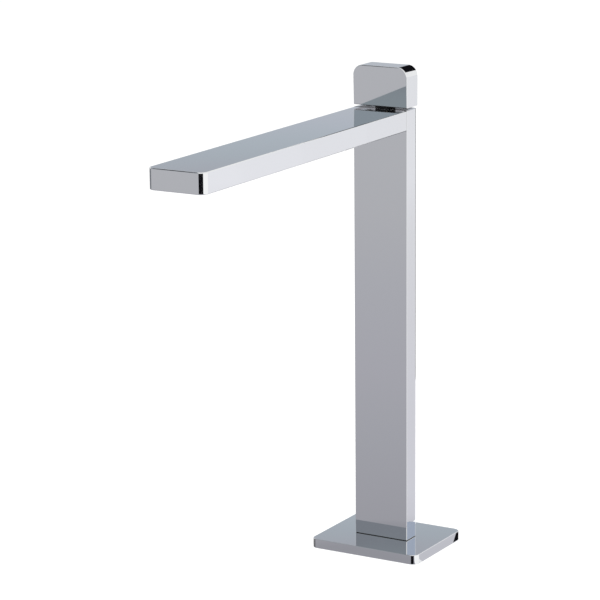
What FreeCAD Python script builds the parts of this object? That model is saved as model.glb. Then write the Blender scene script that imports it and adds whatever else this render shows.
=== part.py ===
import FreeCAD, Part
import math
import os

# Tall slab-sided basin tap for one water feed. A flat rectangular column stands on a plate, a flat spout
# leaves its head flush with the top, and a slab knob above it turns a quarter-turn ceramic disc valve.
# Millimetres. Origin at the centre of the plate's underside, on the deck. +Z is up, the spout points to -Y.

# Clearances shared by many pieces, all per side
slip_clearance = 0.05
running_clearance = 0.1
bolt_clearance = 0.2
braze_gap = 0.05
seal_clearance = 0.02
overrun = 1.0

# Base plate
base_width = 77.4
base_depth = 63.2
base_thickness = 6.2
base_corner_radius = 4.9
base_edge_radius = 0.3

# Gasket let into the underside of the plate
gasket_thickness = 1.2
gasket_margin = 2.5
gasket_gap = 0.3

# Column: hollow below, with a solid head for the valve
column_width = 38.0
column_depth = 14.0
column_height = 281.8
column_wall = 1.6
column_edge_radius = 0.4
column_rear_edge_radius = 2.4
cavity_corner_radius = 2.0
seam_radius = 0.25

# Thin black gaskets under the column and behind the spout, which show as dark lines
joint_gasket_thickness = 0.35
joint_gasket_inset = 0.35
joint_gasket_clearance = 0.1

# Foot block brazed into the bottom of the column
foot_height = 26.0
port_depth = 12.0
inlet_seal_thickness = 1.0

# Riser tube from the foot block up to the head
riser_diameter = 8.0
riser_wall = 0.8
riser_socket_depth = 8.0
inlet_web = 2.0

# Inlet tail with its hexagon and supply thread
tail_diameter = 9.8
tail_reach = 6.0
tail_hex_width = 17.0
tail_hex_height = 7.0
tail_hex_chamfer = 1.0
supply_thread_diameter = 16.66
supply_thread_length = 12.0
thread_lead_in = 0.8

# Screws that hold shank, plate and foot block together
screw_diameter = 5.0
screw_head_diameter = 8.5
screw_head_height = 5.0
screw_head_gap = 0.2
screw_grip = 12.0
screw_tip_gap = 1.0
screw_socket_width = 4.0
screw_socket_depth = 2.5

# Threaded shank through the deck
shank_wall = 2.2
shank_length = 50.0
flange_lip = 6.0
flange_thickness = 2.2
flange_recess = 0.4

# Clamping stack under a deck of this thickness
deck_thickness = 20.0
deck_washer_thickness = 3.0
clamp_washer_thickness = 2.0
washer_lip = 10.0
washer_clearance = 0.3
nut_wall = 7.0
nut_thickness = 8.0
nut_chamfer = 1.2

# Spout: a thin-walled flat box, as wide as the column
spout_reach = 237.5
spout_thickness = 12.8
spout_wall = 1.5
spout_tip_wall = 2.5
spout_tip_radius = 4.6
spout_lower_edge_radius = 0.6
spout_top_edge_radius = 0.6

# Block brazed into the spout's rear end, with its dowels, lock screws and water seal
end_block_length = 26.0
dowel_diameter = 5.0
dowel_floor = 1.2
dowel_margin = 4.5
dowel_depth_in_head = 12.0
dowel_depth_in_block = 12.0
dowel_end_gap = 0.2
lock_screw_diameter = 4.0
lock_screw_recess = 0.5
lock_socket_width = 2.0
lock_socket_depth = 1.2
face_seal_section = 1.2
face_seal_land = 0.3
face_seal_margin = 0.9

# Outlet in the spout's underside
outlet_setback = 18.0
flow_gap = 2.2
aerator_diameter = 18.4
aerator_clearance = 0.2
aerator_recess = 0.3
aerator_wall = 1.5
aerator_lip_height = 1.0
aerator_lip_width = 1.0
aerator_gasket_thickness = 1.6
aerator_gasket_width = 2.0
screen_thickness = 0.5
ring_wall = 2.4
ring_shoulder_thickness = 1.7
ring_shoulder_lip = 0.7
cell_rim = 0.9
insert_cell_web = 0.5
screen_cell_web = 0.35
insert_cell_rings = 2
screen_cell_rings = 3

# Quarter-turn valve in the column's head
head_wall = 1.2
annulus = 0.9
barrel_wall = 0.7
waist_step = 0.7
waist_length = 22.0
shoulder_thickness = 1.2
passage_gap = 0.2
disc_thickness = 2.4
port_hub = 1.3
port_rim = 0.8
moving_hub = 1.5
ear_width = 2.0
seat_seal_thickness = 1.6
seat_seal_width = 1.0
seat_gap = 0.3
window_width = 5.0
window_rise = 1.0
spindle_shoulder = 1.1
spindle_foot_height = 3.0
spindle_engagement = 16.0
spindle_chamfer = 0.5
blade_width = 2.0
blade_depth = 1.0
ring_seal_section = 1.0
groove_side_gap = 0.15
neck_wall = 1.35
neck_drop = 0.5
clip_thickness = 0.6
clip_width = 1.5
clip_groove_depth = 0.4
clip_mouth = 3.0
clip_headroom = 0.3
glide_diameter = 12.8
glide_clearance = 0.3

# Knob: a solid slab a little larger than the column, its front leaning out at the top
knob_overhang_x = 0.15
knob_overhang_y = 0.25
knob_height = 25.5
knob_gap = 1.6
knob_top_radius = 6.5
knob_edge_radius = 0.5
knob_bore_headroom = 0.5
grub_diameter = 4.0
grub_height = 9.0
grub_socket_width = 2.0
grub_socket_depth = 1.5
flat_depth = 0.8
flat_length = 14.0
plug_thickness = 1.5

# Angles and shares
full_turn = 360.0
half_turn = 180.0
quarter_turn = 90.0
knob_front_lean = 1.5
port_angle = 80.0
cutaway_angle = 80.0
seal_height_shares = (0.5, 0.75)
lock_screw_share = 0.8
ring_sides = 8
hex_sides = 6
up = FreeCAD.Vector(0, 0, 1)
backwards = FreeCAD.Vector(0, 1, 0)
origin = FreeCAD.Vector(0, 0, 0)
same_place = 0.001

# Levels above the deck
flange_top = flange_recess + flange_thickness
base_top = base_thickness
column_bottom = base_top + joint_gasket_thickness
column_top = base_top + column_height
foot_top = base_top + foot_height
port_floor = base_top + port_depth
spout_bottom = column_top - spout_thickness
spout_floor = spout_bottom + spout_wall
spout_mid = column_top - spout_thickness / 2
knob_bottom = column_top + knob_gap
knob_top = knob_bottom + knob_height

# Plan sizes of column, spout and knob
cavity_width = column_width - 2 * column_wall
cavity_depth = column_depth - 2 * column_wall
column_front = -column_depth / 2
spout_rear = column_front - joint_gasket_thickness
spout_tip = column_front - spout_reach
spout_inner_width = column_width - 2 * spout_wall
spout_inner_height = spout_thickness - 2 * spout_wall
outlet_y = spout_tip + outlet_setback
knob_width = column_width + 2 * knob_overhang_x
knob_depth = column_depth + 2 * knob_overhang_y

# Shank, sized to pass the tail and the two screw heads beside it
shank_bore = tail_diameter + 2 * screw_head_diameter + 4 * screw_head_gap
shank_diameter = shank_bore + 2 * shank_wall
flange_diameter = shank_diameter + 2 * flange_lip
screw_x = tail_diameter / 2 + screw_head_gap + screw_head_diameter / 2
water_bore = riser_diameter - 2 * riser_wall

# Water passage and joint between column and spout
passage_diameter = spout_inner_height - 2 * (face_seal_land + face_seal_section + face_seal_margin)
face_seal_radius = passage_diameter / 2 + face_seal_land + face_seal_section / 2
dowel_x = spout_inner_width / 2 - dowel_margin
dowel_z = spout_floor + dowel_floor + dowel_diameter / 2
lock_screw_y = column_front + lock_screw_share * dowel_depth_in_head

# Valve diameters, each inside the one before
valve_bore = column_depth - 2 * head_wall
land_diameter = valve_bore - 2 * slip_clearance
barrel_diameter = valve_bore - 2 * annulus
waist_diameter = barrel_diameter - 2 * waist_step
chamber_diameter = barrel_diameter - 2 * barrel_wall
foot_diameter = chamber_diameter - 2 * running_clearance
spindle_diameter = foot_diameter - 2 * spindle_shoulder
spindle_bore = spindle_diameter + 2 * slip_clearance
neck_diameter = spindle_bore + 2 * neck_wall
seat_bore = chamber_diameter - 2 * seat_seal_width

# Valve levels, from the column's top down to the seat
neck_top = knob_bottom - neck_drop
land_length = spout_thickness / 2 - passage_diameter / 2 - passage_gap
land_bottom = column_top - land_length
waist_bottom = land_bottom - waist_length
chamber_top = waist_bottom - shoulder_thickness
spindle_foot_top = chamber_top - running_clearance
spindle_foot_bottom = spindle_foot_top - spindle_foot_height
moving_bottom = spindle_foot_bottom - disc_thickness
fixed_bottom = moving_bottom - disc_thickness
valve_floor = fixed_bottom - seat_seal_thickness
riser_top = valve_floor - inlet_web
head_bottom = riser_top - riser_socket_depth
riser_bottom = foot_top - riser_socket_depth
spindle_top = knob_bottom + spindle_engagement
clip_bottom = neck_top + running_clearance
clip_top = clip_bottom + clip_thickness

# Outlet sizes and levels
aerator_bottom = spout_bottom + aerator_recess
ring_top = spout_floor + spout_inner_height - flow_gap
ring_shoulder = ring_top - ring_shoulder_thickness
aerator_top = ring_shoulder - aerator_gasket_thickness
aerator_bore = aerator_diameter - 2 * aerator_wall
ring_bore = aerator_diameter + 2 * slip_clearance
screen_bottom = aerator_top - screen_thickness


def rod(diameter, bottom, top, x=0, y=0):
    """An upright cylinder."""
    return Part.makeCylinder(diameter / 2, top - bottom, FreeCAD.Vector(x, y, bottom))


def rod_along_y(diameter, front, back, x, z):
    """A level cylinder from front to back."""
    return Part.makeCylinder(diameter / 2, back - front, FreeCAD.Vector(x, front, z), backwards)


def tube(outer, inner, bottom, top, x=0, y=0):
    """An upright ring or tube."""
    return rod(outer, bottom, top, x, y).cut(rod(inner, bottom - overrun, top + overrun, x, y))


def block(width, depth, bottom, top, x=0, y=0):
    """A box centred on x and y."""
    corner = FreeCAD.Vector(x - width / 2, y - depth / 2, bottom)
    return Part.makeBox(width, depth, top - bottom, corner)


def upright_edges(shape):
    return [e for e in shape.Edges if max(e.BoundBox.XLength, e.BoundBox.YLength) < same_place]


def edges_at_height(shape, z):
    return [e for e in shape.Edges if max(abs(e.BoundBox.ZMin - z), abs(e.BoundBox.ZMax - z)) < same_place]


def rounded_block(width, depth, radius, bottom, top):
    """A box with its four upright edges rounded."""
    plain = block(width, depth, bottom, top)
    return plain.makeFillet(radius, upright_edges(plain))


def turned(corners):
    """A solid of revolution about Z from (radius, height) corners."""
    points = [FreeCAD.Vector(radius, 0, height) for radius, height in corners]
    outline = Part.makePolygon(points + points[:1])
    return Part.Face(outline).revolve(origin, up, full_turn)


def hex_prism(across_flats, bottom, top, x=0, y=0):
    """An upright hexagonal bar with two corners along X."""
    corner_radius = across_flats / math.sqrt(3)
    angles = [2 * math.pi * k / hex_sides for k in range(hex_sides)]
    points = [
        FreeCAD.Vector(x + corner_radius * math.cos(a), y + corner_radius * math.sin(a), bottom)
        for a in angles
    ]
    outline = Part.makePolygon(points + points[:1])
    return Part.Face(outline).extrude(up * (top - bottom))


def sector(inner, outer, spread, middle, bottom, top):
    """An upright wedge of a ring, spread degrees wide, about the direction middle."""
    wedge = Part.makeCylinder(outer, top - bottom, FreeCAD.Vector(0, 0, bottom), up, spread)
    wedge.rotate(origin, up, middle - spread / 2)
    return wedge.cut(rod(2 * inner, bottom - overrun, top + overrun))


def opposite_sectors(inner, outer, spread, middle, bottom, top):
    return [sector(inner, outer, spread, middle + turn, bottom, top) for turn in (0, half_turn)]


def ring_seal(mean_radius, section):
    """A rubber ring about Z at the origin, its section flattened on eight sides by the seats around it."""
    corner = section / 2 / math.cos(math.pi / ring_sides)
    angles = [math.pi * (2 * k + 1) / ring_sides for k in range(ring_sides)]
    return turned([(mean_radius + corner * math.cos(a), corner * math.sin(a)) for a in angles])


def left_and_right(distance):
    return (-distance, distance)


def seal_radius_in(bore):
    """Mean radius of a ring seal that lies against the wall of a bore."""
    return bore / 2 - seal_clearance - ring_seal_section / 2


def seal_groove(bore, z):
    """The cut for a ring seal, out to the bore's wall."""
    half_width = ring_seal_section / 2 + groove_side_gap
    floor = seal_radius_in(bore) - ring_seal_section / 2 - seal_clearance
    return tube(bore + 2 * overrun, 2 * floor, z - half_width, z + half_width)


def comb_cells(diameter, rings, web, bottom, top):
    """Hexagonal holes in rings about a centre hole, spaced to fill a disc inside its rim."""
    pitch = (diameter / 2 - cell_rim) / (rings + 1 / math.sqrt(3))
    rise = pitch * math.sqrt(3) / 2
    cells = []
    for row in range(-rings, rings + 1):
        count = 2 * rings + 1 - abs(row)
        for place in range(count):
            across = (place - (count - 1) / 2) * pitch
            cells.append(hex_prism(pitch - web, bottom, top, row * rise, outlet_y + across))
    return Part.makeCompound(cells)


# Below the deck

def threaded_shank():
    flange = rod(flange_diameter, flange_recess, flange_top)
    body = flange.fuse(rod(shank_diameter, -shank_length, flange_recess))
    body = body.cut(rod(shank_bore, -shank_length - overrun, flange_recess))
    body = body.cut(rod(tail_diameter + 2 * bolt_clearance, 0, flange_top + overrun))
    for x in left_and_right(screw_x):
        body = body.cut(rod(screw_diameter + 2 * bolt_clearance, 0, flange_top + overrun, x))
    return body.removeSplitter()


def clamp_ring(top, thickness):
    outer = shank_diameter + 2 * washer_lip
    return tube(outer, shank_diameter + 2 * washer_clearance, top - thickness, top)


def deck_washer():
    return clamp_ring(-deck_thickness, deck_washer_thickness)


def clamp_washer():
    return clamp_ring(-deck_thickness - deck_washer_thickness, clamp_washer_thickness)


def back_nut():
    top = -deck_thickness - deck_washer_thickness - clamp_washer_thickness
    bottom = top - nut_thickness
    across_flats = shank_diameter + 2 * nut_wall
    radius = across_flats / math.sqrt(3)
    flat_radius = radius - nut_chamfer * math.sqrt(3)
    rounding = turned(
        [
            (0, bottom),
            (flat_radius, bottom),
            (radius, bottom + nut_chamfer),
            (radius, top - nut_chamfer),
            (flat_radius, top),
            (0, top),
        ]
    )
    nut = hex_prism(across_flats, bottom, top).common(rounding)
    return nut.cut(rod(shank_diameter + 2 * slip_clearance, bottom - overrun, top + overrun))


def inlet_tail():
    hex_top = -shank_length - tail_reach
    thread_top = hex_top - tail_hex_height
    bottom = thread_top - supply_thread_length
    top = port_floor - inlet_seal_thickness
    hexagon = hex_prism(tail_hex_width, thread_top, hex_top)
    radius = tail_hex_width / math.sqrt(3)
    flat_radius = radius - tail_hex_chamfer * math.sqrt(3)
    rounding = turned(
        [
            (0, thread_top),
            (radius, thread_top),
            (radius, hex_top - tail_hex_chamfer),
            (flat_radius, hex_top),
            (0, hex_top),
        ]
    )
    thread_radius = supply_thread_diameter / 2
    thread = turned(
        [
            (0, bottom),
            (thread_radius - thread_lead_in, bottom),
            (thread_radius, bottom + thread_lead_in),
            (thread_radius, thread_top),
            (0, thread_top),
        ]
    )
    body = rod(tail_diameter, hex_top, top).fuse([hexagon.common(rounding), thread])
    return body.cut(rod(water_bore, bottom - overrun, top + overrun)).removeSplitter()


def inlet_seal():
    return tube(tail_diameter, water_bore, port_floor - inlet_seal_thickness, port_floor)


def foot_screws():
    screws = []
    for x in left_and_right(screw_x):
        head_bottom_z = flange_recess - screw_head_height
        screw = rod(screw_diameter, flange_recess, base_top + screw_grip, x)
        screw = screw.fuse(rod(screw_head_diameter, head_bottom_z, flange_recess, x))
        socket = hex_prism(screw_socket_width, head_bottom_z, head_bottom_z + screw_socket_depth, x)
        screws.append(screw.cut(socket).removeSplitter())
    return Part.makeCompound(screws)


# Base and column

def base_plate():
    plate = rounded_block(base_width, base_depth, base_corner_radius, 0, base_top)
    plate = plate.makeFillet(base_edge_radius, edges_at_height(plate, base_top))
    plate = plate.cut(gasket_outline(gasket_gap, -overrun))
    plate = plate.cut(rod(flange_diameter + 2 * gasket_gap, -overrun, flange_top))
    plate = plate.cut(rod(tail_diameter + 2 * bolt_clearance, 0, base_top + overrun))
    for x in left_and_right(screw_x):
        plate = plate.cut(rod(screw_diameter + 2 * bolt_clearance, 0, base_top + overrun, x))
    return plate


def gasket_outline(gap, bottom):
    """The gasket's slab, or its recess with a gap all round."""
    inset = gasket_margin - gap
    radius = base_corner_radius - inset
    return rounded_block(base_width - 2 * inset, base_depth - 2 * inset, radius, bottom, gasket_thickness)


def base_gasket():
    hole = rod(flange_diameter + 2 * gasket_gap, -overrun, gasket_thickness + overrun)
    return gasket_outline(0, 0).cut(hole)


def column_block(inset, bottom, top):
    """The column's outline, drawn in by an inset, with both rear edges rounded."""
    plain = block(column_width - 2 * inset, column_depth - 2 * inset, bottom, top)
    rear = [e for e in upright_edges(plain) if e.BoundBox.YMin > 0]
    return plain.makeFillet(column_rear_edge_radius - inset, rear)


def column_body():
    body = column_block(0, column_bottom, column_top)
    front = [e for e in upright_edges(body) if e.BoundBox.YMax < column_front + same_place]
    body = body.makeFillet(column_edge_radius, front)
    seams = edges_at_height(body, column_top) + edges_at_height(body, column_bottom)
    body = body.makeFillet(seam_radius, seams)
    cavity_start = base_top - overrun
    cavity = rounded_block(cavity_width, cavity_depth, cavity_corner_radius, cavity_start, head_bottom)
    body = body.cut(cavity)
    body = body.cut(rod(riser_diameter + 2 * braze_gap, head_bottom - overrun, riser_top))
    body = body.cut(rod(seat_bore, riser_top - overrun, valve_floor + overrun))
    body = body.cut(rod(valve_bore, valve_floor, column_top + overrun))
    body = body.cut(rod_along_y(passage_diameter, column_front - overrun, 0, 0, spout_mid))
    lock_bore = lock_screw_diameter + 2 * slip_clearance
    for x in left_and_right(dowel_x):
        body = body.cut(dowel_hole(x, column_front - overrun, column_front + dowel_depth_in_head))
        body = body.cut(rod(lock_bore, dowel_z, column_top + overrun, x, lock_screw_y))
    return body


def column_gasket():
    sheet = column_block(joint_gasket_inset, base_top, column_bottom)
    hole_width = cavity_width + 2 * joint_gasket_clearance
    hole_depth = cavity_depth + 2 * joint_gasket_clearance
    hole = rounded_block(
        hole_width,
        hole_depth,
        cavity_corner_radius + joint_gasket_clearance,
        base_top - overrun,
        column_bottom + overrun,
    )
    return sheet.cut(hole)


def foot_block():
    width = cavity_width - 2 * braze_gap
    depth = cavity_depth - 2 * braze_gap
    body = rounded_block(width, depth, cavity_corner_radius - braze_gap, base_top, foot_top)
    body = body.cut(rod(tail_diameter + 2 * slip_clearance, base_top - overrun, port_floor))
    body = body.cut(rod(water_bore, port_floor - overrun, riser_bottom + overrun))
    body = body.cut(rod(riser_diameter + 2 * braze_gap, riser_bottom, foot_top + overrun))
    hole_top = base_top + screw_grip + screw_tip_gap
    for x in left_and_right(screw_x):
        body = body.cut(rod(screw_diameter + 2 * slip_clearance, base_top - overrun, hole_top, x))
    return body


def riser_tube():
    return tube(riser_diameter, water_bore, riser_bottom, riser_top)


# Quarter-turn valve

def headwork_body():
    chamber = chamber_diameter / 2
    land = land_diameter / 2
    barrel = barrel_diameter / 2
    waist = waist_diameter / 2
    neck = neck_diameter / 2
    bore = spindle_bore / 2
    bottom = valve_floor + seat_gap
    body = turned(
        [
            (chamber, bottom),
            (land, bottom),
            (land, moving_bottom),
            (barrel, moving_bottom),
            (barrel, waist_bottom),
            (waist, waist_bottom),
            (waist, land_bottom),
            (land, land_bottom),
            (land, column_top),
            (neck, column_top),
            (neck, neck_top),
            (bore, neck_top),
            (bore, chamber_top),
            (chamber, chamber_top),
        ]
    )
    body = body.cut(seal_groove(valve_bore, column_top - land_length / 2))
    windows = block(valve_bore, window_width, moving_bottom, spindle_foot_bottom + window_rise)
    ear_slots = block(ear_width + 2 * slip_clearance, valve_bore, bottom - overrun, moving_bottom)
    return body.cut(windows).cut(ear_slots)


def headwork_seal():
    ring = ring_seal(seal_radius_in(valve_bore), ring_seal_section)
    return ring.translated(up * (column_top - land_length / 2))


def seat_seal():
    outer = chamber_diameter - 2 * slip_clearance
    return tube(outer, seat_bore, valve_floor, fixed_bottom)


def fixed_disc():
    radius = chamber_diameter / 2 - slip_clearance
    disc = rod(2 * radius, fixed_bottom, moving_bottom)
    ears = block(ear_width, land_diameter, fixed_bottom, moving_bottom).common(
        rod(land_diameter, fixed_bottom, moving_bottom)
    )
    ports = opposite_sectors(
        port_hub, radius - port_rim, port_angle, 0, fixed_bottom - overrun, moving_bottom + overrun
    )
    return disc.fuse(ears).removeSplitter().cut(ports)


def moving_disc():
    disc = rod(foot_diameter, moving_bottom, spindle_foot_bottom)
    start = moving_bottom - overrun
    end = spindle_foot_bottom + overrun
    cutaways = opposite_sectors(moving_hub, foot_diameter, cutaway_angle, quarter_turn, start, end)
    slot_width = blade_width + 2 * slip_clearance
    slot = block(valve_bore, slot_width, spindle_foot_bottom - blade_depth, end)
    return disc.cut(cutaways).cut(slot)


def spindle():
    top_radius = spindle_diameter / 2
    body = turned(
        [
            (0, spindle_foot_bottom),
            (foot_diameter / 2, spindle_foot_bottom),
            (foot_diameter / 2, spindle_foot_top),
            (top_radius, spindle_foot_top),
            (top_radius, spindle_top - spindle_chamfer),
            (top_radius - spindle_chamfer, spindle_top),
            (0, spindle_top),
        ]
    )
    blade_bottom = spindle_foot_bottom - blade_depth + slip_clearance
    blade = block(foot_diameter, blade_width, blade_bottom, spindle_foot_bottom)
    body = body.fuse(blade.common(rod(foot_diameter, blade_bottom, spindle_foot_bottom)))
    for height in seal_heights():
        body = body.cut(seal_groove(spindle_bore, height))
    groove_floor = spindle_diameter - 2 * clip_groove_depth
    groove_bottom = clip_bottom - slip_clearance
    groove_top = clip_top + slip_clearance
    body = body.cut(tube(spindle_diameter + overrun, groove_floor, groove_bottom, groove_top))
    flat_y = spindle_diameter / 2 - flat_depth + spindle_diameter / 2
    flat_bottom = spindle_top - flat_length
    flat = block(spindle_diameter, spindle_diameter, flat_bottom, spindle_top + overrun, 0, flat_y)
    return body.cut(flat)


def seal_heights():
    return [waist_bottom + share * waist_length for share in seal_height_shares]


def spindle_seals():
    ring = ring_seal(seal_radius_in(spindle_bore), ring_seal_section)
    return Part.makeCompound([ring.translated(up * z) for z in seal_heights()])


def spindle_clip():
    inner = spindle_diameter - 2 * clip_groove_depth + 2 * slip_clearance
    outer = inner + 2 * clip_width
    mouth = block(clip_mouth, outer, clip_bottom - overrun, clip_top + overrun, 0, -outer / 2)
    return tube(outer, inner, clip_bottom, clip_top).cut(mouth)


def glide_ring():
    bore = neck_diameter + 2 * slip_clearance
    return tube(glide_diameter, bore, column_top, knob_bottom - glide_clearance)


# Knob

def knob():
    half_width = knob_width / 2
    shoulder = knob_top - knob_top_radius
    lean = knob_height / 2 * math.tan(math.radians(knob_front_lean))
    front = -knob_depth / 2 - lean - overrun
    arc_start = half_width - knob_top_radius
    arc_middle = knob_top_radius / math.sqrt(2)

    def at(x, z):
        return FreeCAD.Vector(x, front, z)

    outline = Part.Wire(
        [
            Part.makeLine(at(-half_width, knob_bottom), at(half_width, knob_bottom)),
            Part.makeLine(at(half_width, knob_bottom), at(half_width, shoulder)),
            Part.Arc(
                at(half_width, shoulder),
                at(arc_start + arc_middle, shoulder + arc_middle),
                at(arc_start, knob_top),
            ).toShape(),
            Part.makeLine(at(arc_start, knob_top), at(-arc_start, knob_top)),
            Part.Arc(
                at(-arc_start, knob_top),
                at(-arc_start - arc_middle, shoulder + arc_middle),
                at(-half_width, shoulder),
            ).toShape(),
            Part.makeLine(at(-half_width, shoulder), at(-half_width, knob_bottom)),
        ]
    )
    body = Part.Face(outline).extrude(backwards * (knob_depth / 2 - front))
    body = body.cut(room_before_front(lean))
    faces = sorted(body.Faces, key=lambda face: face.CenterOfMass.y)
    sides = faces[0].Edges + faces[-1].Edges
    rims = [e for e in sides if e.BoundBox.ZMax > knob_bottom + same_place]
    body = body.makeFillet(knob_edge_radius, rims)
    return body.cut(knob_hollows())


def room_before_front(lean):
    """What lies before the knob's leaning front, from a lean back at its foot to a lean out at its top."""
    front = -knob_depth / 2
    steepness = 2 * lean / knob_height
    low = knob_bottom - overrun
    high = knob_top + overrun
    points = [
        FreeCAD.Vector(-knob_width, front + lean + overrun * steepness, low),
        FreeCAD.Vector(-knob_width, front - lean - overrun * steepness, high),
        FreeCAD.Vector(-knob_width, front - knob_depth, high),
        FreeCAD.Vector(-knob_width, front - knob_depth, low),
    ]
    outline = Part.makePolygon(points + points[:1])
    return Part.Face(outline).extrude(FreeCAD.Vector(2 * knob_width, 0, 0))


def knob_hollows():
    """Bore for the spindle, room for its clip and the grub screw's hole."""
    bore_top = spindle_top + knob_bore_headroom
    bore = rod(spindle_diameter + 2 * slip_clearance, knob_bottom - overrun, bore_top)
    clip_room = rod(glide_diameter, knob_bottom - overrun, clip_top + clip_headroom)
    grub_hole = rod_along_y(
        grub_diameter + 2 * slip_clearance, 0, knob_depth / 2 + overrun, 0, knob_bottom + grub_height
    )
    return [bore, clip_room, grub_hole]


def knob_grub_screw():
    tip = spindle_diameter / 2 - flat_depth + slip_clearance
    end = knob_depth / 2 - plug_thickness - slip_clearance
    z = knob_bottom + grub_height
    socket = hex_prism(grub_socket_width, 0, grub_socket_depth)
    socket.rotate(origin, FreeCAD.Vector(1, 0, 0), quarter_turn)
    socket.translate(FreeCAD.Vector(0, end, z))
    return rod_along_y(grub_diameter, tip, end, 0, z).cut(socket)


def knob_plug():
    back = knob_depth / 2
    return rod_along_y(grub_diameter, back - plug_thickness, back, 0, knob_bottom + grub_height)


# Spout

def dowel_hole(x, front, back):
    return rod_along_y(dowel_diameter + 2 * slip_clearance, front, back, x, dowel_z)


def flat_box(width, rear, tip, bottom, top, radius):
    """A level box from the rear to the tip, with its two upright edges at the tip rounded."""
    plain = block(width, rear - tip, bottom, top, 0, (rear + tip) / 2)
    corners = [e for e in upright_edges(plain) if abs(e.BoundBox.YMin - tip) < same_place]
    return plain.makeFillet(radius, corners)


def spout_shell():
    shell = flat_box(column_width, spout_rear, spout_tip, spout_bottom, column_top, spout_tip_radius)
    shell = shell.makeFillet(spout_lower_edge_radius, edges_at_height(shell, spout_bottom))
    shell = shell.makeFillet(spout_top_edge_radius, edges_at_height(shell, column_top))
    hollow = flat_box(
        spout_inner_width,
        spout_rear + overrun,
        spout_tip + spout_tip_wall,
        spout_floor,
        column_top - spout_wall,
        spout_tip_radius - spout_wall,
    )
    outlet_hole = aerator_diameter + 2 * aerator_clearance
    outlet = rod(outlet_hole, spout_bottom - overrun, spout_floor + overrun, 0, outlet_y)
    return shell.cut(hollow).cut(outlet)


def spout_gasket():
    middle_y = (spout_rear + column_front) / 2
    width = column_width - 2 * joint_gasket_inset
    low = spout_bottom + joint_gasket_inset
    high = column_top - joint_gasket_inset
    sheet = block(width, joint_gasket_thickness, low, high, 0, middle_y)
    hole = block(
        spout_inner_width + 2 * joint_gasket_clearance,
        joint_gasket_thickness + 2 * overrun,
        spout_floor - joint_gasket_clearance,
        column_top - spout_wall + joint_gasket_clearance,
        0,
        middle_y,
    )
    return sheet.cut(hole)


def spout_end_block():
    rear = column_front
    front = rear - end_block_length
    body = block(
        spout_inner_width - 2 * braze_gap,
        end_block_length,
        spout_floor + braze_gap,
        column_top - spout_wall - braze_gap,
        0,
        (rear + front) / 2,
    )
    body = body.cut(rod_along_y(passage_diameter, front - overrun, rear + overrun, 0, spout_mid))
    groove_outer = 2 * face_seal_radius + face_seal_section + 2 * seal_clearance
    groove_inner = 2 * face_seal_radius - face_seal_section - 2 * seal_clearance
    groove_front = rear - face_seal_section - 2 * seal_clearance
    groove = rod_along_y(groove_outer, groove_front, rear + overrun, 0, spout_mid)
    groove = groove.cut(rod_along_y(groove_inner, groove_front - overrun, rear + 2 * overrun, 0, spout_mid))
    body = body.cut(groove)
    for x in left_and_right(dowel_x):
        body = body.cut(dowel_hole(x, rear - dowel_depth_in_block, rear + overrun))
    return body


def spout_face_seal():
    ring = ring_seal(face_seal_radius, face_seal_section)
    ring.rotate(origin, FreeCAD.Vector(1, 0, 0), quarter_turn)
    middle_y = column_front - face_seal_section / 2 - seal_clearance
    return ring.translated(FreeCAD.Vector(0, middle_y, spout_mid))


def spout_dowels():
    front = column_front - dowel_depth_in_block + dowel_end_gap
    back = column_front + dowel_depth_in_head - dowel_end_gap
    sides = left_and_right(dowel_x)
    return Part.makeCompound([rod_along_y(dowel_diameter, front, back, x, dowel_z) for x in sides])


def spout_lock_screws():
    bottom = dowel_z + dowel_diameter / 2 + slip_clearance
    top = column_top - lock_screw_recess
    screws = []
    for x in left_and_right(dowel_x):
        socket = hex_prism(lock_socket_width, top - lock_socket_depth, top + overrun, x, lock_screw_y)
        screws.append(rod(lock_screw_diameter, bottom, top, x, lock_screw_y).cut(socket))
    return Part.makeCompound(screws)


# Outlet

def outlet_ring():
    ring = tube(ring_bore + 2 * ring_wall, ring_bore, spout_floor, ring_top, 0, outlet_y)
    shoulder_bore = aerator_bore - 2 * ring_shoulder_lip
    return ring.fuse(tube(ring_bore, shoulder_bore, ring_shoulder, ring_top, 0, outlet_y)).removeSplitter()


def aerator_housing():
    housing = tube(aerator_diameter, aerator_bore, aerator_bottom, aerator_top, 0, outlet_y)
    lip_bore = aerator_bore - 2 * aerator_lip_width
    lip_top = aerator_bottom + aerator_lip_height
    return housing.fuse(tube(aerator_bore, lip_bore, aerator_bottom, lip_top, 0, outlet_y)).removeSplitter()


def comb_disc(bottom, top, rings, web):
    """A disc in the aerator's bore, pierced by hexagonal cells."""
    diameter = aerator_bore - 2 * slip_clearance
    cells = comb_cells(diameter, rings, web, bottom - overrun, top + overrun)
    return rod(diameter, bottom, top, 0, outlet_y).cut(cells)


def aerator_insert():
    return comb_disc(aerator_bottom + aerator_lip_height, screen_bottom, insert_cell_rings, insert_cell_web)


def aerator_screen():
    return comb_disc(screen_bottom, aerator_top, screen_cell_rings, screen_cell_web)


def aerator_gasket():
    bore = aerator_diameter - 2 * aerator_gasket_width
    return tube(aerator_diameter, bore, aerator_top, ring_shoulder, 0, outlet_y)


pieces = [
    threaded_shank,
    deck_washer,
    clamp_washer,
    back_nut,
    inlet_tail,
    inlet_seal,
    foot_screws,
    base_plate,
    base_gasket,
    column_gasket,
    column_body,
    foot_block,
    riser_tube,
    headwork_body,
    headwork_seal,
    seat_seal,
    fixed_disc,
    moving_disc,
    spindle,
    spindle_seals,
    spindle_clip,
    glide_ring,
    knob,
    knob_grub_screw,
    knob_plug,
    spout_gasket,
    spout_shell,
    spout_end_block,
    spout_face_seal,
    spout_dowels,
    spout_lock_screws,
    outlet_ring,
    aerator_housing,
    aerator_insert,
    aerator_screen,
    aerator_gasket,
]

os.makedirs("parts", exist_ok=True)
for piece in pieces:
    piece().exportStep(f"parts/{piece.__name__}.step")
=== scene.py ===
import math

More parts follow.
